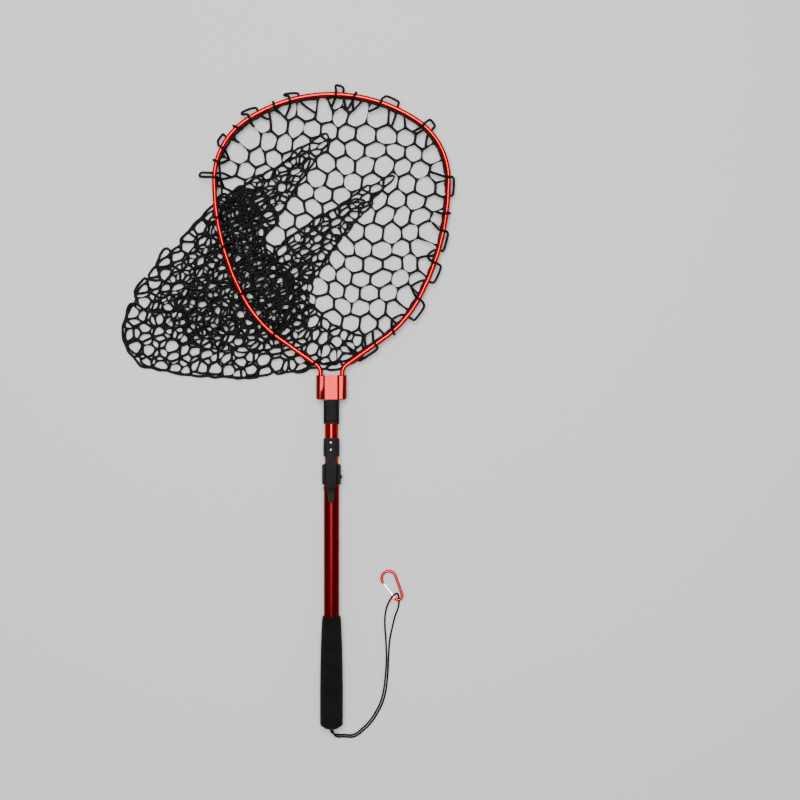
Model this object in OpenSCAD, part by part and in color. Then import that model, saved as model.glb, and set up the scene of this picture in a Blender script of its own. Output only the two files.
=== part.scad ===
// Folding landing net with a telescopic handle, belt clip and wrist lanyard.
// Millimetres. +Y runs from the butt to the hoop, +Z faces the belt clip side.
// The origin is the centre of the butt end, on the handle's axis.

/* [Handle] */
// outer tube outside diameter
tube_d = 25; // [22:0.5:30]
// inner tube outside diameter
inner_d = 22; // [18:0.5:26]
// height of the hinge pin above the butt
pivot_y = 569; // [520:1:620]
// length of the foam grip
grip_len = 184; // [140:1:220]
// widest diameter of the foam grip
grip_d = 38; // [34:0.5:40]
// lower edge of the lock collar
collar_y = 407; // [380:1:420]
// length of the lock collar
collar_len = 34; // [26:1:40]
// lower edge of the clip collar
clip_y = 453; // [448:1:470]
// length of the clip collar
clip_len = 31.6; // [26:0.2:36]
// length of the slide lock
slider_len = 39.4; // [34:0.2:44]

/* [Yoke] */
// width over the two lobes
yoke_w = 51; // [48:0.5:56]
// length of the yoke
yoke_len = 41; // [38:0.5:44]
// half the distance between the hoop's legs
leg_x = 18; // [17.5:0.5:20]

/* [Hoop] */
// hoop tube diameter
hoop_d = 8; // [6:0.5:10]
// centreline radius of the shoulders
shoulder_r = 120; // [110:1:130]
// centreline radius of the sides
side_r = 420; // [380:5:460]
// radius of the bend into each leg
leg_bend_r = 18; // [16:1:24]
// height of the widest point above the hinge pin
wide_y = 347; // [330:1:360]

/* [Net] */
// thickness of the netting stand-in on the floor
net_t = 1.2; // [1:0.2:3]
// thickness of its wall below the hoop
wall_t = 3; // [2:0.5:4]

/* [Lanyard] */
// cord diameter
cord_d = 3; // [2:0.5:4]
// carabiner rod diameter
rod_d = 4.8; // [4:0.2:6]

/* [Hidden] */
$fn = 64;
eps = 0.01;
floor_z = -grip_d / 2;
tube_in = 11.2;
inner_in = 9.8;
tube_end = collar_y + collar_len - 3;
inner_low = 60;
inner_top = pivot_y - 36;
slider_top = pivot_y - 21.3;
pin_r = 2.5;
cheek_x = 8.85;
web_z = 8.6;
knuckle_r = 8.15;

// hoop centreline: side arc ends at side_a, lower arc runs on to low_a
side_a = 28;
low_a = 55;
half_w = 196;
bend_top = 24;
side_c = half_w - side_r;
shoulder_c = half_w - shoulder_r;
hoop_top = 490;
rise = hoop_top - wide_y;
top_r = (shoulder_c * shoulder_c + rise * rise - shoulder_r * shoulder_r)
    / (2 * (rise - shoulder_r));
top_a = atan2(wide_y - (hoop_top - top_r), shoulder_c);
bend_x = leg_x + leg_bend_r * (1 - cos(low_a));
bend_y = bend_top + leg_bend_r * sin(low_a);
side_px = side_c + side_r * cos(side_a);
side_py = wide_y - side_r * sin(side_a);
dx = cos(side_a) - cos(low_a);
dy = sin(low_a) - sin(side_a);
gap_x = side_px - bend_x;
gap_y = side_py - bend_y;
low_r = (gap_x * cos(low_a) - gap_y * sin(low_a)) / (dx * cos(low_a) - dy * sin(low_a));
straight = (gap_x - dx * low_r) / sin(low_a);
low_cx = side_px - low_r * cos(side_a);
low_cy = side_py + low_r * sin(side_a);

// carabiner placing
hook_pos = [95.5, 248, -15.76];
hook_turn = 20;
hook_tilt = -4;
big_r = 12;
small_r = 7;
small_c = [big_r - small_r, -32.5];
gate_p = [small_c[0] - small_r, small_c[1]];
hook_a = 205;

red = [0.75, 0.08, 0.08];
dark = [0.12, 0.12, 0.13];
steel = [0.75, 0.75, 0.76];

// helpers: a 2D profile in X and Z drawn out along Y, and turned shapes on Y
module along(y, len) {
    translate([0, y + len, 0]) rotate([90, 0, 0]) linear_extrude(len) children();
}
module turned(y) {
    translate([0, y, 0]) rotate([-90, 0, 0]) rotate_extrude() children();
}
module rod_y(y, len, r) {
    translate([0, y, 0]) rotate([-90, 0, 0]) cylinder(h = len, r = r);
}
module rod_x(x, len, r) {
    translate([x, 0, 0]) rotate([0, 90, 0]) cylinder(h = len, r = r);
}
module round_rect(w, h, r) {
    square([w - 2 * r, h], center = true);
    square([w, h - 2 * r], center = true);
    for (sx = [-1, 1], sy = [-1, 1])
        translate([sx * (w / 2 - r), sy * (h / 2 - r)]) circle(r);
}

module outer_tube() color(red) difference() {
    rod_y(4, tube_end - 4, tube_d / 2);
    rod_y(4 - eps, tube_end - 4 + 2 * eps, tube_in);
    translate([0, collar_y + 12.5, 0]) rod_x(0, tube_d, 3.1);
    translate([0, collar_y - 7, 0]) rod_x(-tube_d, tube_d, 2.4);
}

module foam_grip() color(dark) turned(3) polygon([
    [tube_d / 2, 1], [tube_d / 2, grip_len], [14.4, grip_len], [15.4, grip_len - 2],
    [15.9, grip_len - 6], [16.7, grip_len - 22], [17.7, grip_len - 48],
    [grip_d / 2 - 0.4, grip_len - 84], [grip_d / 2, grip_len - 120],
    [grip_d / 2, 4.5], [grip_d / 2 - 1, 1.6], [grip_d / 2 - 3.5, 0],
    [13.2, 0], [13.2, 1]]);

module end_cap() color(dark) difference() {
    union() {
        turned(0) polygon([[0, 0], [11.6, 0], [13.2, 1.2], [13.2, 4], [0, 4]]);
        rod_y(4, 14, tube_in);
    }
    for (s = [-1, 1]) translate([s * 1.8, 0, 0]) rod_y(-eps, 5, cord_d / 2 + 0.1);
}

module lock_collar() color(dark) difference() {
    turned(collar_y) polygon([[tube_d / 2, 0], [15.2, 0], [16, 0.8], [16, collar_len - 2.4],
        [14.2, collar_len], [inner_d / 2 + 0.1, collar_len],
        [inner_d / 2 + 0.1, collar_len - 3], [tube_d / 2, collar_len - 3]]);
    translate([-20, collar_y - eps, 14]) cube([40, collar_len + 2 * eps, 10]);
    translate([0, collar_y + 12.5, 0]) rod_x(0, 20, 3.1);
}

module tube_rivet() color(steel) translate([0, collar_y - 7, 0]) {
    rod_x(-12.6, 1.2, 2.4);
    intersection() {
        translate([-11.2, 0, 0]) sphere(r = 3.4);
        rod_x(-15, 2.4, 3.3);
    }
}

module release_button() color(dark) translate([0, collar_y + 12.5, 0]) {
    rod_x(13.3, 3.7, 3);
    translate([17, 0, 0]) rotate([0, 90, 0]) cylinder(h = 1, r1 = 3, r2 = 2.1);
}

module inner_tube() color(red) difference() {
    rod_y(inner_low, inner_top - inner_low, inner_d / 2);
    rod_y(inner_low - eps, inner_top - inner_low + 2 * eps, inner_in);
}

module guide_bush() color(dark) difference() {
    union() {
        rod_y(inner_low - 12, 12, tube_in - 0.06);
        rod_y(inner_low, 16, inner_in);
    }
    rod_y(inner_low - 13, 30, 7);
}

module knuckle() color(dark) difference() {
    union() {
        intersection() {
            rod_y(pivot_y - 28, 40, knuckle_r);
            union() {
                rod_y(pivot_y - 28, 28, knuckle_r);
                translate([0, pivot_y, 0]) rod_x(-knuckle_r, 2 * knuckle_r, knuckle_r);
            }
        }
        turned(pivot_y - 36) polygon([[0, 0], [10.5, 0], [10.5, 7], [9.4, 8.4], [0, 8.4]]);
        rod_y(inner_top - 30, 30, inner_in);
    }
    translate([0, pivot_y, 0]) rod_x(-20, 40, pin_r + 0.05);
}

module clip_collar() color(dark) difference() {
    union() {
        turned(clip_y) polygon([[10.9, 0], [11.8, 0], [13.7, 2.2], [13.7, clip_len - 2.2],
            [11.8, clip_len], [10.9, clip_len]]);
        translate([-7.2, clip_y - 1.5, 10]) cube([14.4, clip_len + 1.5, 11]);
        translate([-8.6, clip_y, 10]) cube([17.2, clip_len - 1, 6]);
    }
    rod_y(clip_y - 5, clip_len + 10, inner_d / 2);
    translate([-8.4, clip_y - 4, 16]) cube([16.8, 13.5, 3.8]);
    for (y = [12.6, 24.6]) translate([0, clip_y + y, 0]) {
        translate([0, 0, 12.6]) cylinder(h = 12, r = 1.5);
        translate([0, 0, 18.6]) cylinder(h = 6, r = 4.2);
    }
    for (s = [-1, 1]) translate([s * 7.2, clip_y - 2, 21]) rotate([0, 45, 0])
        translate([-0.8, 0, -0.8]) cube([1.6, clip_len + 4, 1.6]);
}

module clip_screws() color(steel) for (y = [12.6, 24.6]) translate([0, clip_y + y, 0])
    difference() {
        union() {
            translate([0, 0, 12.8]) cylinder(h = 6, r = 1.5);
            intersection() {
                translate([0, 0, 18.6]) cylinder(h = 2, r = 3);
                translate([0, 0, 15.6]) sphere(r = 4.9);
            }
        }
        for (a = [0, 90]) rotate([0, 0, a + 20])
            translate([-2, -0.4, 19.5]) cube([4, 0.8, 2]);
    }

// side profile in Y and Z, then cut to its plan
clip_side = [[461.5, 17], [461.5, 19], [405, 19], [392.5, 16.6], [386, 17.2], [378.5, 19.4],
    [377.5, 18], [385.4, 15.2], [392.3, 14.5], [404.6, 17]];
clip_plan = [[-8, 462], [8, 462], [8, 405], [6.9, 402], [6.1, 391.5], [5, 389], [4.8, 380],
    [3.4, 377], [-3.4, 377], [-4.8, 380], [-5, 389], [-6.1, 391.5], [-6.9, 402], [-8, 405]];
module belt_clip() color(dark) intersection() {
    translate([10, 0, 0]) rotate([0, -90, 0]) linear_extrude(20)
        polygon([for (p = clip_side) [p[1], p[0]]]);
    translate([0, 0, 10]) linear_extrude(15) polygon(clip_plan);
}

module slide_lock() color(dark) difference() {
    union() {
        along(slider_top - slider_len, slider_len) round_rect(26, 26, 7);
        along(slider_top - 1.6, 1.6) round_rect(27, 27, 7.5);
        translate([-7.5, slider_top - 33.4, 10]) cube([15, 29, 3.8]);
    }
    rod_y(slider_top - slider_len - 1, slider_len + 2, inner_d / 2 + 0.1);
    translate([-6.4, slider_top - 32.2, 13]) cube([12.8, 26.6, 3]);
}

module lobes_profile() difference() {
    union() {
        for (s = [-1, 1]) translate([s * leg_x, 0]) circle(yoke_w / 2 - leg_x);
        translate([-leg_x, -7.5]) square([2 * leg_x, 15]);
    }
    translate([-cheek_x, -20]) square([2 * cheek_x, 40]);
}
module plate_profile() difference() {
    polygon([[-14.6, 5], [14.6, 5], [11.4, 11.6], [10.2, 12.8], [-10.2, 12.8], [-11.4, 11.6]]);
    translate([-cheek_x, 0]) square([2 * cheek_x, web_z]);
}
module yoke() color(red) difference() {
    union() {
        intersection() {
            along(pivot_y - yoke_len / 2, yoke_len) lobes_profile();
            translate([0, pivot_y, 0]) rod_x(-yoke_w, 2 * yoke_w, yoke_len / 2);
        }
        along(pivot_y - yoke_len / 2 + 0.5, yoke_len - 0.5) plate_profile();
    }
    for (s = [-1, 1]) translate([s * leg_x, 0, 0]) rod_y(pivot_y + 5, 30, hoop_d / 2);
    for (s = [-1, 1]) translate([s * (yoke_w / 2 - 5), pivot_y - yoke_len / 2 - 1, -20])
        rotate([0, 0, s * 32]) translate([s * 10 - 10, -10, 0]) cube([20, 10, 40]);
    translate([0, pivot_y, 0]) rod_x(-30, 60, pin_r);
}

module hinge_pin() color(steel) translate([0, pivot_y, 0]) rod_x(-25.3, 50.6, pin_r);

// a round bar of radius r with flat-sided rings at each point of a line
function unit(v) = v / norm(v);
function way(line, i) = unit(line[min(len(line) - 1, i + 1)] - line[max(0, i - 1)]);
function ring(line, i, r, sides) =
    let (t = way(line, i), u = unit(cross(t, [0, 0, 1])), v = cross(u, t))
    [for (k = [0:sides - 1]) line[i] + r * (u * cos(360 * k / sides)
        + v * sin(360 * k / sides))];
module sweep(line, r, sides) {
    n = len(line);
    polyhedron(points = [for (i = [0:n - 1]) for (p = ring(line, i, r, sides)) p],
        faces = concat(
            [[for (k = [0:sides - 1]) k]],
            [[for (k = [sides - 1:-1:0]) (n - 1) * sides + k]],
            [for (i = [0:n - 2]) for (k = [0:sides - 1]) let (q = (k + 1) % sides)
                [i * sides + k, (i + 1) * sides + k, (i + 1) * sides + q]],
            [for (i = [0:n - 2]) for (k = [0:sides - 1]) let (q = (k + 1) % sides)
                [i * sides + k, (i + 1) * sides + q, i * sides + q]]));
}

// points on the right half of the hoop's line, moved outward by off, with m steps an arc
function arc_pts(cx, cy, r, a0, a1, n) =
    [for (i = [0:n - 1]) let (a = a0 + (a1 - a0) * i / n) [cx + r * cos(a), cy + r * sin(a)]];
function half_pts(off, m) = concat(
    arc_pts(0, hoop_top - top_r, top_r + off, 90, top_a, m),
    arc_pts(shoulder_c, wide_y, shoulder_r + off, top_a, 0, m + 3),
    arc_pts(side_c, wide_y, side_r + off, 0, -side_a, m + 2),
    arc_pts(low_cx, low_cy, low_r + off, -side_a, -low_a, m),
    [[low_cx + (low_r + off) * cos(low_a), low_cy - (low_r + off) * sin(low_a)],
        [bend_x + off * sin(low_a), bend_y - off * cos(low_a)]]);
function whole_pts(off, m) = let (p = half_pts(off, m), n = len(p))
    concat(p, [for (i = [n - 1:-1:1]) [-p[i][0], p[i][1]]]);

leg_pts = concat(
    [for (i = [1:7]) let (a = 180 - low_a * (1 - i / 7))
        [leg_x + leg_bend_r * (1 + cos(a)), bend_top + leg_bend_r * sin(a)]],
    [[leg_x, 5]]);
hoop_half = concat(half_pts(0, 8), leg_pts);
hoop_line = concat(
    [for (i = [len(hoop_half) - 1:-1:1]) [-hoop_half[i][0], hoop_half[i][1] + pivot_y, 0]],
    [for (p = hoop_half) [p[0], p[1] + pivot_y, 0]]);
module hoop() color(red) sweep(hoop_line, hoop_d / 2, 16);

// outline of the gathered netting that lies beside the hoop
lobe_pts = [[-150, 880], [-200, 872], [-222, 852], [-260, 814], [-282, 800], [-292, 778],
    [-310, 758], [-328, 734], [-345, 705], [-353, 672], [-352, 648], [-343, 627],
    [-322, 606], [-272, 595], [-232, 588], [-188, 585], [-146, 584], [-94, 588],
    [-52, 597], [-30, 604], [-30, 660]];
module net_bag() color(dark) difference() {
    translate([0, 0, floor_z]) union() {
        linear_extrude(2 * net_t) polygon(lobe_pts);
        linear_extrude(-floor_z - 3) translate([0, pivot_y]) polygon(whole_pts(wall_t / 2, 5));
    }
    translate([0, pivot_y, floor_z + net_t]) linear_extrude(40) polygon(whole_pts(-wall_t / 2, 5));
}

// lanyard: a closed run from one cap hole through the carabiner's eye and back
out_pts = [[-1.8, 4.5, 0], [-1.8, -2, 0], [1, -9, -3.5], [9, -14.2, -12.5], [20, -15.6, -17.4],
    [36, -15.4, -17.4], [52, -4, -17.4], [64, 8.5, -17.4], [73.5, 23, -17.4],
    [81, 38, -17.4], [86, 55, -17.4], [90, 85, -17.4], [91.6, 115, -17.4],
    [90.6, 145, -17.4], [89, 170, -17.4], [90, 190, -17.4], [93.6, 203.5, -14.1],
    [98.4, 213.4, -9.5], [104, 220.6, -9.1], [109.2, 223, -11.5]];
back_pts = [[111.6, 220.2, -15.1], [112.4, 215, -17.45], [112.8, 207, -17.45],
    [111, 197, -17.45], [106.5, 185, -17.45], [101.5, 165, -17.45], [97.4, 145, -17.45],
    [95.2, 115, -17.45], [93.6, 84, -17.45], [89.6, 53.5, -17.45], [84.4, 36.2, -17.45],
    [76.6, 20.8, -17.45], [66.8, 5.8, -17.45], [54.4, -7, -17.45], [37.2, -19, -17.45],
    [19.4, -19.2, -17.45], [9, -17.6, -12], [4.2, -11.4, -3.2], [1.8, -3, 0],
    [1.8, 4.5, 0]];
route = concat(out_pts, back_pts);
steps = 2;
function at(i) = route[max(0, min(len(route) - 1, i))];
function spline(i, t) = let (a = at(i - 1), b = at(i), c = at(i + 1), d = at(i + 2))
    0.5 * (2 * b + (c - a) * t + (2 * a - 5 * b + 4 * c - d) * t * t
        + (3 * b - a - 3 * c + d) * t * t * t);
cord_line = concat(
    [for (i = [0:len(route) - 2]) for (s = [0:steps - 1]) spline(i, s / steps)],
    [route[len(route) - 1]]);
module lanyard_cord() color(dark) sweep(cord_line, cord_d / 2, 8);

module on_hook() translate(hook_pos) rotate([0, 0, hook_turn]) rotate([hook_tilt, 0, 0])
    children();
module rod_arc(c, r, a0, sweep) translate([c[0], c[1], 0]) rotate([0, 0, a0])
    rotate_extrude(angle = sweep) translate([r, 0]) circle(rod_d / 2);
module carabiner_frame() color(red) on_hook() difference() {
    union() {
        rod_arc([0, 0], big_r, 0, hook_a);
        translate([big_r, small_c[1], 0]) rotate([-90, 0, 0])
            cylinder(h = -small_c[1], r = rod_d / 2);
        mirror([0, 1, 0]) rod_arc([small_c[0], -small_c[1]], small_r, 0, 160);
        translate([gate_p[0], gate_p[1], -rod_d / 2]) cylinder(h = rod_d, r = 2.9);
    }
    translate([gate_p[0], gate_p[1], -1.5]) cylinder(h = 3, r = 3.1);
    translate([gate_p[0], gate_p[1], -5]) cylinder(h = 10, r = 0.8);
}
gate_dir = atan2(big_r * sin(hook_a) - gate_p[1], big_r * cos(hook_a) - gate_p[0]);
gate_len = norm([big_r * cos(hook_a) - gate_p[0], big_r * sin(hook_a) - gate_p[1]]) - 0.8;
module carabiner_gate() color(steel) on_hook() translate([gate_p[0], gate_p[1], 0])
    difference() {
        union() {
            translate([0, 0, -1.3]) cylinder(h = 2.6, r = 2.7);
            rotate([0, 0, gate_dir]) translate([0, -1.5, -1.3]) cube([gate_len, 3, 2.6]);
        }
        translate([0, 0, -5]) cylinder(h = 10, r = 0.85);
    }
module gate_pin() color(steel) on_hook() translate([gate_p[0], gate_p[1], -rod_d / 2])
    cylinder(h = rod_d, r = 0.8);

outer_tube();
foam_grip();
end_cap();
lock_collar();
tube_rivet();
release_button();
inner_tube();
guide_bush();
knuckle();
clip_collar();
clip_screws();
belt_clip();
slide_lock();
yoke();
hinge_pin();
hoop();
net_bag();
lanyard_cord();
carabiner_frame();
carabiner_gate();
gate_pin();
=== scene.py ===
import math

import bmesh
import bpy
from mathutils import Matrix, Vector, noise
from mathutils.kdtree import KDTree


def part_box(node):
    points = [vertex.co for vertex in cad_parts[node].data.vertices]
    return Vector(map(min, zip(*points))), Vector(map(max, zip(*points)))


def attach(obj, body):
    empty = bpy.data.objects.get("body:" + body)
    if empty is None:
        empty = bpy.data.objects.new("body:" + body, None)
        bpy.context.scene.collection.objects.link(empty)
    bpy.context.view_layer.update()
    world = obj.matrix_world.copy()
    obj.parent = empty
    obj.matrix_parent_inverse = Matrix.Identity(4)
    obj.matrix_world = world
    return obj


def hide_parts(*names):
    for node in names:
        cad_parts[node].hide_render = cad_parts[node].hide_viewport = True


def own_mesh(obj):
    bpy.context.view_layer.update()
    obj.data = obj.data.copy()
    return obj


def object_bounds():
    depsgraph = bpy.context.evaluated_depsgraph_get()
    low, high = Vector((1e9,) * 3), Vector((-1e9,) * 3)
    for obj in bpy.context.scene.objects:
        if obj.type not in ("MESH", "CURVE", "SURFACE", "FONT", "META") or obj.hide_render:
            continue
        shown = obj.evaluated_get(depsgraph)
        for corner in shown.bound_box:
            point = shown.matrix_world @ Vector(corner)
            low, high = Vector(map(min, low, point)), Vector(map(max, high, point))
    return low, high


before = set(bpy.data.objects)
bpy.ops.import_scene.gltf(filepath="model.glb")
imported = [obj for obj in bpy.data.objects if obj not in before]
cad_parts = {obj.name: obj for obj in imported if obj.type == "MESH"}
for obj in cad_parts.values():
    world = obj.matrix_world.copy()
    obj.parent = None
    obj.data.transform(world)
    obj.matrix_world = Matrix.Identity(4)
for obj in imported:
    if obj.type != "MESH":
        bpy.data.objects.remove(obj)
cad_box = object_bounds()
scene = bpy.context.scene

# The unevenness of the netting comes out the same every time.
noise.seed_set(5)

# Every length below is in metres unless a name or comment says otherwise.
MM = 1000
PIVOT_Y = (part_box("hinge_pin")[0][1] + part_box("hinge_pin")[1][1]) / 2
FLOOR_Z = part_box("foam_grip")[0][2]
VIEW_MIDDLE = Vector((0.1145, 0.548, 0))


# ---- camera, straight above the net ----
def add_camera(height, field_degrees):
    data = bpy.data.cameras.new("camera")
    data.angle = math.radians(field_degrees)
    data.clip_end = 50
    camera = bpy.data.objects.new("camera", data)
    camera.location = VIEW_MIDDLE + Vector((0, 0, height))
    scene.collection.objects.link(camera)
    scene.camera = camera


add_camera(height=2.2, field_degrees=33.8)


# ---- finishes ----
def new_finish(name):
    """An empty material, with its nodes, its links and its shader."""
    mat = bpy.data.materials.new(name)
    mat.use_nodes = True
    return mat.node_tree.nodes, mat.node_tree.links, mat.node_tree.nodes["Principled BSDF"], mat


def grain(nodes, links, scale, detail, stretch=(1, 1, 1)):
    """Noise over the piece's own coordinates, drawn out along an axis where stretch is small."""
    coord = nodes.new("ShaderNodeTexCoord")
    mapping = nodes.new("ShaderNodeMapping")
    mapping.inputs["Scale"].default_value = stretch
    cloud = nodes.new("ShaderNodeTexNoise")
    cloud.inputs["Scale"].default_value = scale
    cloud.inputs["Detail"].default_value = detail
    links.new(coord.outputs["Object"], mapping.inputs["Vector"])
    links.new(mapping.outputs["Vector"], cloud.inputs["Vector"])
    return cloud.outputs["Fac"]


def spread(nodes, links, source, low, high, target):
    """Colours or greys between low and high, by source, into target."""
    ramp = nodes.new("ShaderNodeValToRGB")
    for stop, place, colour in zip(ramp.color_ramp.elements, (0.32, 0.70), (low, high)):
        stop.position = place
        stop.color = (*colour, 1) if isinstance(colour, tuple) else (colour, colour, colour, 1)
    links.new(source, ramp.inputs["Fac"])
    links.new(ramp.outputs["Color"], target)


def emboss(nodes, links, shader, source, strength, depth):
    """Relief by source on the shader."""
    bump = nodes.new("ShaderNodeBump")
    bump.inputs["Strength"].default_value = strength
    bump.inputs["Distance"].default_value = depth
    links.new(source, bump.inputs["Height"])
    links.new(bump.outputs["Normal"], shader.inputs["Normal"])


def anodised(name, deep, bright, rough, coat, drawn=(1, 0.02, 1)):
    """Dyed anodised aluminium: fine drawn lines, a clear glassy oxide layer, handling haze."""
    nodes, links, shader, mat = new_finish(name)
    lines = grain(nodes, links, 700, 3, drawn)
    haze = grain(nodes, links, 45, 3)
    spread(nodes, links, lines, deep, bright, shader.inputs["Base Color"])
    spread(nodes, links, haze, rough - 0.02, rough + 0.03, shader.inputs["Roughness"])
    shader.inputs["Metallic"].default_value = 0.92
    shader.inputs["Specular Tint"].default_value = (0.30, 0.012, 0.014, 1)
    shader.inputs["Coat Weight"].default_value = coat
    shader.inputs["Coat Roughness"].default_value = 0.1
    emboss(nodes, links, shader, lines, 0.02, 0.0002)
    return mat


def moulded(name, deep, bright, rough, grain_scale, strength, shine):
    """Moulded plastic with a fine spark-eroded grain."""
    nodes, links, shader, mat = new_finish(name)
    cloud = grain(nodes, links, 90, 4)
    fine = grain(nodes, links, grain_scale, 2)
    spread(nodes, links, cloud, deep, bright, shader.inputs["Base Color"])
    spread(nodes, links, fine, rough - 0.06, rough + 0.08, shader.inputs["Roughness"])
    shader.inputs["Specular IOR Level"].default_value = shine
    emboss(nodes, links, shader, fine, strength, 0.0003)
    return mat


def closed_cell_foam():
    """Foam skin: small closed pores over soft mottling."""
    nodes, links, shader, mat = new_finish("grip_foam")
    coord = nodes.new("ShaderNodeTexCoord")
    pores = nodes.new("ShaderNodeTexVoronoi")
    pores.inputs["Scale"].default_value = 800
    links.new(coord.outputs["Object"], pores.inputs["Vector"])
    mottle = grain(nodes, links, 40, 5)
    spread(nodes, links, mottle, 0.0030, 0.0065, shader.inputs["Base Color"])
    shader.inputs["Roughness"].default_value = 0.88
    shader.inputs["Specular IOR Level"].default_value = 0.16
    emboss(nodes, links, shader, pores.outputs["Distance"], 0.55, 0.0005)
    return mat


def braid():
    """Braided cord: two crossing sets of fine ridges that wind along its length."""
    nodes, links, shader, mat = new_finish("cord_braid")
    uv = nodes.new("ShaderNodeUVMap")
    crossing = nodes.new("ShaderNodeMath")
    crossing.operation = "MAXIMUM"
    for socket, across in zip(crossing.inputs, (3, -3)):
        mapping = nodes.new("ShaderNodeMapping")
        mapping.inputs["Scale"].default_value = (260, across, 1)
        ridges = nodes.new("ShaderNodeTexWave")
        ridges.bands_direction = "DIAGONAL"
        ridges.inputs["Scale"].default_value = 1
        links.new(uv.outputs["UV"], mapping.inputs["Vector"])
        links.new(mapping.outputs["Vector"], ridges.inputs["Vector"])
        links.new(ridges.outputs["Fac"], socket)
    spread(nodes, links, crossing.outputs["Value"], 0.002, 0.007, shader.inputs["Base Color"])
    shader.inputs["Roughness"].default_value = 0.75
    shader.inputs["Specular IOR Level"].default_value = 0.08
    emboss(nodes, links, shader, crossing.outputs["Value"], 0.6, 0.0004)
    return mat


def steel(name, deep, bright):
    """Turned steel with fine brightness and gloss changes."""
    nodes, links, shader, mat = new_finish(name)
    lines = grain(nodes, links, 500, 3)
    spread(nodes, links, lines, deep, bright, shader.inputs["Base Color"])
    spread(nodes, links, lines, 0.2, 0.34, shader.inputs["Roughness"])
    shader.inputs["Metallic"].default_value = 1
    return mat


def coated_strand():
    """Rubber skin over a woven core: slightly lumpy, with a soft shine."""
    nodes, links, shader, mat = new_finish("net_rubber")
    lumps = grain(nodes, links, 160, 4)
    spread(nodes, links, lumps, 0.002, 0.006, shader.inputs["Base Color"])
    spread(nodes, links, lumps, 0.42, 0.6, shader.inputs["Roughness"])
    shader.inputs["Specular IOR Level"].default_value = 0.14
    emboss(nodes, links, shader, lumps, 0.3, 0.0005)
    return mat


ALL_WAYS = (1, 1, 1)
FINISH = {
    "tube_red": anodised("tube_red", deep=(0.125, 0.003, 0.005), bright=(0.155, 0.005, 0.007),
                         rough=0.25, coat=0.0),
    "inner_red": anodised("inner_red", deep=(0.32, 0.008, 0.008), bright=(0.37, 0.011, 0.010),
                          rough=0.15, coat=0.0),
    "hoop_red": anodised("hoop_red", deep=(0.60, 0.009, 0.011), bright=(0.68, 0.013, 0.015),
                         rough=0.22, coat=0.05, drawn=ALL_WAYS),
    "yoke_red": anodised("yoke_red", deep=(0.25, 0.008, 0.008), bright=(0.30, 0.011, 0.011),
                         rough=0.12, coat=0.15),
    "hook_red": anodised("hook_red", deep=(0.52, 0.008, 0.011), bright=(0.60, 0.012, 0.015),
                         rough=0.20, coat=0.15, drawn=ALL_WAYS),
    "plastic": moulded("plastic", deep=(0.0045, 0.0045, 0.005), bright=(0.008, 0.008, 0.009),
                       rough=0.48, grain_scale=1400, strength=0.2, shine=0.11),
    "foam": closed_cell_foam(),
    "cord": braid(),
    "net": coated_strand(),
    "steel": steel("bright_steel", deep=0.55, bright=0.75),
    # Steel with its colour darkened as painted shade, standing in for the shade in the clip screws'
    # recesses; the tube rivet takes it too.
    "shade_darkened_steel": steel("shade_darkened_steel", deep=0.16, bright=0.34),
}


def dress(obj, finish, body, sharp=35):
    """Smooth shading up to an edge angle, a finish, a body to move with and a material slot."""
    obj.data.shade_smooth()
    obj.data.set_sharp_from_angle(angle=math.radians(sharp))
    obj.data.materials.clear()
    obj.data.materials.append(FINISH[finish])
    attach(obj, body)
    return obj


def link_mesh(name, bm):
    """The mesh as an object in the scene."""
    mesh = bpy.data.meshes.new(name)
    bm.to_mesh(mesh)
    bm.free()
    obj = bpy.data.objects.new(name, mesh)
    scene.collection.objects.link(obj)
    return obj


# ---- metal and plastic parts ----
def finished(node, body, finish, edge_width):
    """A part with its faces joined up and its edges rounded, in the place of its solid."""
    bm = bmesh.new()
    bm.from_mesh(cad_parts[node].data)
    bmesh.ops.remove_doubles(bm, verts=bm.verts, dist=1e-5)
    bmesh.ops.dissolve_limit(bm, angle_limit=math.radians(1), verts=bm.verts, edges=bm.edges)
    obj = dress(link_mesh(node + "_finished", bm), finish, body)
    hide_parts(node)
    if edge_width:
        edge = obj.modifiers.new("edge", "BEVEL")
        edge.width = edge_width
        edge.segments = 2
        edge.limit_method = "ANGLE"
        edge.angle_limit = math.radians(32)
        edge.harden_normals = True
    return obj


for node, body, finish, slot, edge_width in (
    ("outer_tube", "handle", "tube_red", "anodised_red", 0.0003),
    ("inner_tube", "inner_handle", "inner_red", "anodised_red", 0.0003),
    ("hoop", "head", "hoop_red", "anodised_red", 0),
    ("yoke", "head", "yoke_red", "anodised_red", 0.0006),
    ("slide_lock", "slider", "plastic", "black_plastic", 0.0004),
    ("clip_collar", "inner_handle", "plastic", "black_plastic", 0.0005),
    ("belt_clip", "clip", "plastic", "black_plastic", 0.0004),
    ("lock_collar", "handle", "plastic", "black_plastic", 0.0005),
    ("end_cap", "handle", "plastic", "black_plastic", 0.0004),
    ("knuckle", "inner_handle", "plastic", "black_plastic", 0.0003),
    ("guide_bush", "inner_handle", "plastic", "black_plastic", 0.0003),
    ("release_button", "button", "plastic", "black_plastic", 0.0003),
    ("hinge_pin", "head", "steel", "steel", 0.0003),
    # The rivet and the screws take the steel darkened as painted shade.
    ("tube_rivet", "handle", "shade_darkened_steel", "steel", 0.0002),
    ("clip_screws", "inner_handle", "shade_darkened_steel", "steel", 0.0001),
):
    finished(node, body, finish, edge_width)
grip = finished("foam_grip", "handle", "foam", 0.0006)
hook_pieces = [
    finished("carabiner_frame", "handle", "hook_red", 0),
    finished("carabiner_gate", "gate", "steel", 0.0001),
    finished("gate_pin", "handle", "steel", 0.0001),
]


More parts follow.
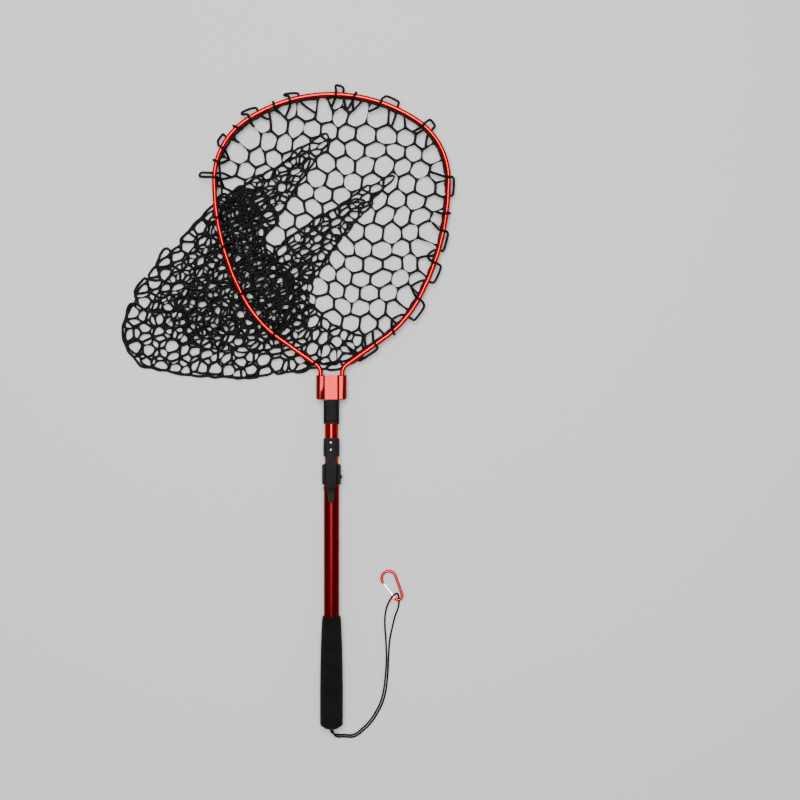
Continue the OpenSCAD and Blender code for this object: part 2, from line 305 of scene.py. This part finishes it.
def thumb_ribs():
    """Raised bars and an arrow in the slide lock's recessed panel."""
    panel_floor = 0.0130
    first_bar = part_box("slide_lock")[1][1] - 0.0085
    bar_step = 0.0029
    arrow = first_bar - 0.0222
    arrow_slant = 28
    bm = bmesh.new()

    def bar(middle, size, turn):
        place = Matrix.Translation(middle) @ Matrix.Rotation(math.radians(turn), 4, "Z")
        bmesh.ops.create_cube(bm, size=1, matrix=place @ Matrix.Diagonal((*size, 1)))

    for i in range(7):
        bar((0, first_bar - bar_step * i, panel_floor + 0.0006), (0.0108, 0.0015, 0.0022), 0)
    for side in (-1, 1):
        bar((side * 0.0019, arrow, panel_floor + 0.0003), (0.0050, 0.0011, 0.0016), side * arrow_slant)
    bmesh.ops.bevel(bm, geom=bm.edges[:], offset=0.0003, offset_type="OFFSET", affect="EDGES",
                    segments=2, profile=0.5, material=-1)
    dress(link_mesh("slide_lock_ribs", bm), "plastic", "slider")


thumb_ribs()


# ---- wrist cord ----
# Millimetre points of its route: out of the butt, down to the ground, up along the handle and through
# the snap hook, then back the same way a few millimetres to one side.
CORD_OUT = (
    (-1.8, 4.5, 0), (-1.8, -2, 0), (1, -9, -3.5), (9, -14.2, -12.5), (20, -15.6, -17.4),
    (36, -15.4, -17.4), (52, -4, -17.4), (64, 8.5, -17.4), (73.5, 23, -17.4), (81, 38, -17.4),
    (86, 55, -17.4), (90, 85, -17.4), (91.6, 115, -17.4), (90.6, 145, -17.4), (89, 170, -17.4),
    (90, 190, -17.4), (93.6, 203.5, -14.1), (98.4, 213.4, -9.5), (104, 220.6, -9.1), (109.2, 223, -11.5),
)
CORD_BACK = (
    (111.6, 220.2, -15.1), (112.4, 215, -17.45), (112.8, 207, -17.45), (111, 197, -17.45),
    (106.5, 185, -17.45), (101.5, 165, -17.45), (97.4, 145, -17.45), (95.2, 115, -17.45),
    (93.6, 84, -17.45), (89.6, 53.5, -17.45), (84.4, 36.2, -17.45), (76.6, 20.8, -17.45),
    (66.8, 5.8, -17.45), (54.4, -7, -17.45), (37.2, -19, -17.45), (19.4, -19.2, -17.45),
    (9, -17.6, -12), (4.2, -11.4, -3.2), (1.8, -3, 0), (1.8, 4.5, 0),
)
CORD_THICK = 0.003


def wrist_cord():
    """The cord, a fixed length on one smooth line through its route."""
    data = bpy.data.curves.new("wrist_cord", "CURVE")
    data.dimensions = "3D"
    data.bevel_depth = CORD_THICK / 2
    data.bevel_resolution = 4
    data.resolution_u = 6
    route = CORD_OUT + CORD_BACK
    line = data.splines.new("BEZIER")
    line.bezier_points.add(len(route) - 1)
    for knot, spot in zip(line.bezier_points, route):
        knot.co = Vector(spot) / MM
        knot.handle_left_type = "AUTO"
        knot.handle_right_type = "AUTO"
    cord = bpy.data.objects.new("wrist_cord", data)
    scene.collection.objects.link(cord)
    data.materials.append(FINISH["cord"])
    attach(cord, "handle")
    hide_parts("lanyard_cord")


wrist_cord()


# ---- the bag ----
def arc(middle, radius, start, stop, count):
    """Points along an arc seen from above, angles in degrees from +X."""
    turns = (math.radians(start + (stop - start) * i / count) for i in range(count))
    return [Vector((middle[0] + radius * math.cos(a), middle[1] + radius * math.sin(a))) for a in turns]


def hoop_line():
    """The hoop tube's centre line, from above, as a closed loop."""
    top, wide = 0.490, 0.347
    shoulder, shoulder_r = 0.076, 0.120
    rise = top - wide
    crown_r = (shoulder**2 + rise**2 - shoulder_r**2) / (2 * (rise - shoulder_r))
    crown_end = math.degrees(math.atan2(wide - top + crown_r, shoulder))
    right = arc((0, top - crown_r), crown_r, 90, crown_end, 24)
    right += arc((shoulder, wide), shoulder_r, crown_end, 0, 24)
    right += arc((-0.224, wide), 0.420, 0, -28, 24)
    right += arc((-0.0273, 0.2424), 0.1972, -28, -55, 16)
    right += [Vector((0.0858, 0.0809)), Vector((0.0557, 0.0598)), Vector((0.0257, 0.0387))]
    loop = right + [Vector((-p.x, p.y)) for p in reversed(right[1:])]
    return [p + Vector((0, PIVOT_Y)) for p in loop]


def outline(*corners):
    """A closed outline from corners in millimetres."""
    return [Vector(c) / MM for c in corners]


def within(p, loop):
    """Whether a point is inside a closed outline."""
    hit = False
    for a, b in zip(loop, loop[1:] + loop[:1]):
        if (a.y > p.y) != (b.y > p.y) and p.x < a.x + (p.y - a.y) * (b.x - a.x) / (b.y - a.y):
            hit = not hit
    return hit


def nearest(p, loop):
    """How far an outline is, its closest point and the direction along it there."""
    best = None
    for a, b in zip(loop, loop[1:] + loop[:1]):
        run = b - a
        share = min(1, max(0, (p - a).dot(run) / max(run.length_squared, 1e-12)))
        spot = a + run * share
        gap = (p - spot).length
        if best is None or gap < best[0]:
            best = (gap, spot, run.normalized())
    return best


def ease(value, low, high):
    """0 at low, 1 at high, smooth between."""
    t = min(1, max(0, (value - low) / (high - low)))
    return t * t * (3 - 2 * t)


HOOP = hoop_line()
LOBE = outline(
    (-146, 884), (-200, 872), (-222, 852), (-260, 814), (-282, 800), (-292, 778), (-310, 758), (-328, 734),
    (-345, 705), (-351, 672), (-350, 648), (-341, 629), (-320, 608), (-272, 597), (-232, 590), (-188, 587),
    (-146, 586), (-94, 590), (-52, 598), (-22, 612), (-60, 660), (-120, 760), (-140, 820),
)
SECOND_WALL = outline(
    (-183, 896), (-150, 905), (-112, 900), (-92, 852), (-115, 813), (-112, 780), (-76, 773), (-30, 776),
    (-36, 737), (-40, 709), (4, 670), (48, 654), (50, 618), (20, 604), (-52, 600), (-146, 588), (-232, 592),
    (-320, 610), (-349, 650), (-349, 676), (-326, 732), (-290, 780), (-258, 812), (-222, 850), (-200, 870),
)
GATHERED = outline(
    (-186, 886), (-215, 830), (-262, 768), (-300, 720), (-304, 680), (-270, 650), (-190, 632), (-110, 632),
    (-40, 640), (-36, 700), (-60, 740), (-78, 765), (-116, 800), (-120, 850), (-130, 890),
)
BUNCHED = outline(
    (-188, 880), (-206, 800), (-250, 720), (-262, 680), (-240, 650), (-150, 660), (-90, 660), (-52, 690),
    (-66, 740), (-120, 800), (-136, 850), (-150, 884),
)
CRUSHED = outline(
    (-192, 886), (-150, 892), (-124, 870), (-108, 800), (-60, 750), (-30, 704), (-56, 664), (-104, 672),
    (-150, 740), (-184, 820),
)
UPPER_PLEAT = outline(
    (2, 1004), (-52, 970), (-96, 938), (-147, 912), (-180, 890), (-160, 850), (-96, 846), (-64, 900),
    (-36, 944), (-8, 980),
)
LOWER_PLEAT = outline(
    (107, 926), (64, 910), (28, 884), (-24, 852), (-64, 829), (-100, 792), (-60, 730), (-20, 770),
    (10, 812), (50, 856), (73, 890),
)
UPPER_FOLD = outline(
    (-40, 966), (-96, 938), (-147, 912), (-180, 890), (-160, 850), (-96, 846), (-66, 904), (-44, 940),
)
LOWER_FOLD = outline(
    (62, 900), (28, 884), (-24, 852), (-64, 829), (-100, 792), (-60, 730), (-20, 770), (10, 812), (44, 856),
)

# The bag is drawn out from the hoop's middle towards the lobe.
PULL = Vector((-0.86, -0.51)).normalized()
HEART = Vector((0.0, 0.880))
NET_REACH = 0.40


def towards_lobe(p):
    """0 where the first wall hangs in the hoop, 1 where it has run out to the lobe."""
    return ease((p - HEART).dot(PULL), 0.085, 0.15)


def cells(size, angle, squeeze, inside, seed, side_points=1):
    """Flat six-sided cells filling a shape, joined edge to edge; each side has points along it."""
    bm = bmesh.new()
    step = Vector((math.sqrt(3) / 2 * size, size))
    lie = Matrix.Rotation(math.radians(angle), 4, "Z")
    narrow = Matrix.Scale(squeeze, 4, Vector((-PULL.y, PULL.x, 0)))
    shift = Vector((seed * 0.0037, seed * 0.0053, 0))
    lay = Matrix.Translation(Vector((-0.05, 0.84, 0))) @ narrow @ lie @ Matrix.Translation(shift)
    point_up = Matrix.Rotation(math.radians(30), 4, "Z")
    reach = int(NET_REACH / (size * min(1, squeeze)))
    for column in range(-reach, reach + 1):
        for row in range(-reach, reach + 1):
            spot = Vector((column * step.x, (row + 0.5 * (column % 2)) * step.y, 0))
            if inside((lay @ spot).to_2d()):
                bmesh.ops.create_circle(bm, cap_ends=True, segments=6, radius=size / math.sqrt(3),
                                        matrix=lay @ Matrix.Translation(spot) @ point_up)
    bmesh.ops.remove_doubles(bm, verts=bm.verts, dist=size * 0.1)
    bmesh.ops.recalc_face_normals(bm, faces=bm.faces)
    bmesh.ops.subdivide_edges(bm, edges=bm.edges, cuts=side_points)
    return bm


def unsettle(bm, amount, seed):
    """Uneven cells: a slow drift of whole rows and a small wander of each point."""
    for vert in bm.verts:
        slow = noise.noise_vector(vert.co * 11 + Vector((seed, 0, 0)))
        quick = noise.noise_vector(vert.co * 47 + Vector((0, seed, 0)))
        drift = slow * amount * 1.6 + quick * amount
        vert.co += Vector((drift.x, drift.y, 0))


def settle(bm, rounds):
    """Evens out the cells inside the edge, which stays."""
    inner = [v for v in bm.verts if not v.is_boundary]
    for _ in range(rounds):
        bmesh.ops.smooth_vert(bm, verts=inner, factor=0.5, use_axis_x=True, use_axis_y=True)


def strands(name, bm, thick):
    """The cells' sides as round rubber strands with thicker joints."""
    flat = link_mesh(name + "_flat", bm)
    wire = flat.modifiers.new("strands", "WIREFRAME")
    wire.thickness = thick
    wire.use_boundary = True
    wire.use_even_offset = False
    wire.use_relative_offset = False
    rounded = flat.modifiers.new("round", "SUBSURF")
    rounded.levels = 1
    rounded.render_levels = 1
    wall = dress(solid_copy(name, flat), "net", "head", sharp=180)
    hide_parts("net_bag")
    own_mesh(wall)


def solid_copy(name, made):
    """A plain mesh object of what made becomes, which then goes."""
    bpy.context.view_layer.update()
    mesh = bpy.data.meshes.new_from_object(made.evaluated_get(bpy.context.evaluated_depsgraph_get()))
    bpy.data.objects.remove(made)
    copy = bpy.data.objects.new(name, mesh)
    scene.collection.objects.link(copy)
    return copy


# Heights of the walls' middles, and how the folded head presses them to one level.
LOWEST = FLOOR_Z + 0.0024
LAYER = 0.0033
HIGHEST = -0.0058
RIM_UNDERSIDE = -0.003


def single_wall():
    """The wall that hangs from the upper and right rim and runs under the hoop to the lobe."""
    def inside(p):
        gap = nearest(p, HOOP)[0]
        return (within(p, HOOP) and gap > 0.005) or within(p, LOBE)

    bm = cells(size=0.0305, angle=24, squeeze=1.0, inside=inside, seed=1, side_points=2)
    unsettle(bm, 0.0058, 3.1)
    for vert in bm.verts:
        if not vert.is_boundary:
            continue
        p = vert.co.to_2d()
        far = towards_lobe(p)
        gap, spot, run = nearest(p, LOBE if far > 0.5 and not within(p, HOOP) else HOOP)
        if gap < 0.024 and far < 0.5:
            inward = Vector((-run.y, run.x))
            inward *= math.copysign(1, inward.dot(HEART - spot))
            p = spot + inward * (0.0045 + 0.003 * noise.noise(vert.co * 60))
        elif not within(p, LOBE) or gap < 0.010:
            p = p.lerp(spot, 0.8)
        vert.co = p.to_3d()
    settle(bm, 3)
    for vert in bm.verts:
        p = vert.co.to_2d()
        depth = nearest(p, HOOP)[0] if within(p, HOOP) else 0
        hang = 1 - towards_lobe(p)
        sag = ease(depth, -0.006, 0.055)
        rim = LOWEST + hang * (RIM_UNDERSIDE - LOWEST) * (1 - sag)
        vert.co.z = rim + 0.0022 * hang * (1 + noise.noise(vert.co * 30)) * sag
    return bm


def folded_wall(shape, size, angle, squeeze, level, seed, wander):
    """A further wall of the bag lying on the first one, with its edge pulled to an outline."""
    bm = cells(size, angle, squeeze, lambda p: within(p, shape), seed)
    unsettle(bm, wander, seed * 5.3)
    for vert in bm.verts:
        if vert.is_boundary:
            flat = vert.co.to_2d()
            vert.co = flat.lerp(nearest(flat, shape)[1], 0.6).to_3d()
    settle(bm, 1)
    for vert in bm.verts:
        gap = nearest(vert.co.to_2d(), shape)[0]
        up = level * LAYER * ease(gap, -0.012, 0.02)
        vert.co.z = LOWEST + up + 0.0016 * noise.noise(vert.co * 40 + Vector((0, 0, seed)))
        vert.co.z = max(LOWEST, min(vert.co.z, HIGHEST))
    return bm


first_wall = single_wall()
knots = KDTree(len(first_wall.verts))
for vert in first_wall.verts:
    knots.insert(vert.co, vert.index)
knots.balance()
strands("bag_wall", first_wall, 0.0070)
for name, shape, size, angle, squeeze, level, seed, wander, thick in (
    ("bag_second_wall", SECOND_WALL, 0.0240, 8, 0.78, 1, 2, 0.0046, 0.0068),
    ("bag_gathered", GATHERED, 0.0225, 41, 0.74, 2, 4, 0.0052, 0.0060),
    ("bag_bunched", BUNCHED, 0.0220, 17, 0.70, 3, 6, 0.0054, 0.0058),
    ("bag_crushed", CRUSHED, 0.0205, 52, 0.62, 3, 8, 0.0056, 0.0058),
    ("bag_upper_pleat", UPPER_PLEAT, 0.0230, 33, 0.62, 1, 7, 0.0052, 0.0060),
    ("bag_upper_fold", UPPER_FOLD, 0.0235, 3, 0.70, 2, 9, 0.0054, 0.0058),
    ("bag_lower_pleat", LOWER_PLEAT, 0.0230, 14, 0.62, 1, 11, 0.0052, 0.0060),
    ("bag_lower_fold", LOWER_FOLD, 0.0235, 47, 0.70, 2, 13, 0.0054, 0.0058),
):
    strands(name, folded_wall(shape, size, angle, squeeze, level, seed, wander), thick)


# ---- rim loops, each a cell threaded over the hoop and back under it ----
def round_strands(name, paths, thick):
    """Smooth round strands through the given points, as one mesh."""
    data = bpy.data.curves.new(name, "CURVE")
    data.dimensions = "3D"
    data.bevel_depth = thick / 2
    data.bevel_resolution = 2
    data.resolution_u = 4
    data.use_fill_caps = True
    for points in paths:
        line = data.splines.new("NURBS")
        line.points.add(len(points) - 1)
        for knot, p in zip(line.points, points):
            knot.co = (*p, 1)
        line.order_u = 3
        line.use_endpoint_u = True
    drawn = bpy.data.objects.new(name + "_line", data)
    scene.collection.objects.link(drawn)
    dress(solid_copy(name, drawn), "net", "head", sharp=60)


def place_on_rim(near):
    """The tube's middle nearest a point in millimetres, with the directions along it and outward."""
    spot, run = nearest(Vector(near) / MM, HOOP)[1:]
    outward = Vector((run.y, -run.x))
    return spot, run, outward * math.copysign(1, outward.dot(spot - HEART))


def tied(path):
    """The path with both ends taken on to the nearest points of the first wall."""
    return [knots.find(path[0])[0][:], *path[1:-1], knots.find(path[-1])[0][:]]


def rim_loop(near, wide, out, lean):
    """A loop of strand: in from the net, over the tube, out to a corner or two, back under the tube."""
    spot, run, outward = place_on_rim(near)
    half = wide / 2 / MM
    out = out / MM
    lean = lean / MM
    path = []
    for along, away, height in (
        (-half - 0.009, -0.020, -0.0090), (-half - 0.003, -0.011, -0.0050), (-half, -0.0064, 0.0024),
        (-half, -0.0025, 0.0062), (-half, 0.0025, 0.0062), (-half, 0.0066, 0.0024),
        (-half + lean, out * 0.75, -0.001), (-half * 0.8 + lean, out, -0.002),
        (half * 0.8 + lean, out * 0.92, -0.004), (half, out * 0.7, -0.004),
        (half, 0.0066, -0.0040), (half, 0.0025, -0.0062), (half, -0.0025, -0.0062),
        (half + 0.003, -0.012, -0.0066), (half + 0.009, -0.020, -0.0095),
    ):
        p = spot + run * along + outward * away
        path.append((p.x, p.y, height))
    return tied(path)


def wrap(near, lean):
    """A short strand that crosses over the tube and tucks in on both sides."""
    spot, run, outward = place_on_rim(near)
    path = []
    for away, height in ((-0.017, -0.0100), (-0.0075, -0.0045), (-0.0062, 0.0020), (-0.0030, 0.0060),
                         (0.0030, 0.0060), (0.0062, 0.0020), (0.0056, -0.0040), (0.0010, -0.0064),
                         (-0.0060, -0.0075), (-0.0170, -0.0110)):
        p = spot + outward * away + run * (lean / MM * away / 0.006)
        path.append((p.x, p.y, height))
    return tied(path)


# Where each is on the rim. A loop has its width, reach and lean too, and a wrap its slant.
LOOPS = (
    ((-200, 924), 8, 26, 0), ((-194, 988), 20, 12, 4), ((-136, 1036), 18, 15, -9),
    ((-64, 1060), 16, 12, -8), ((14, 1066), 12, 16, -2), ((98, 1046), 28, 14, 2),
    ((160, 1003), 15, 15, 0), ((203, 905), 30, 9, 0), ((194, 812), 32, 9, 0),
    ((172, 760), 32, 13, 0), ((146, 696), 34, 15, 2), ((62, 624), 38, 9, 0),
)
WRAPS = (
    ((-194, 852), 2), ((-181, 803), -2), ((-143, 729), 2), ((-92, 662), -1), ((-30, 608), 1),
    ((-205, 950), 1), ((-170, 1015), -2), ((-100, 1050), 1), ((40, 1064), 2), ((190, 860), -1),
    ((110, 655), 2),
)
ties = [rim_loop(*loop) for loop in LOOPS] + [wrap(*tie) for tie in WRAPS]
round_strands("bag_rim_loops", ties, thick=0.0044)


# ---- floor and light ----
def studio():
    """A plain pale floor just under the net, an even surround and one wide soft light overhead."""
    ground = cad_box[0][2] - 0.0003
    bm = bmesh.new()
    bmesh.ops.create_grid(bm, x_segments=1, y_segments=1, size=5,
                          matrix=Matrix.Translation((VIEW_MIDDLE.x, VIEW_MIDDLE.y, ground)))
    floor = link_mesh("studio_floor", bm)
    shader, mat = new_finish("pale_floor")[2:]
    shader.inputs["Base Color"].default_value = (0.93, 0.93, 0.93, 1)
    shader.inputs["Roughness"].default_value = 0.95
    shader.inputs["Specular IOR Level"].default_value = 0.1
    floor.data.materials.append(mat)
    world = bpy.data.worlds.new("studio")
    world.use_nodes = True
    surround = world.node_tree.nodes["Background"]
    surround.inputs["Color"].default_value = (1, 1, 1, 1)
    surround.inputs["Strength"].default_value = 0.36
    scene.world = world
    data = bpy.data.lights.new("overhead_softbox", "AREA")
    data.shape = "RECTANGLE"
    data.size = 1.4
    data.size_y = 2.4
    data.energy = 100
    softbox = bpy.data.objects.new("overhead_softbox", data)
    softbox.location = VIEW_MIDDLE + Vector((-0.15, 0.6, 3.0))
    scene.collection.objects.link(softbox)


studio()
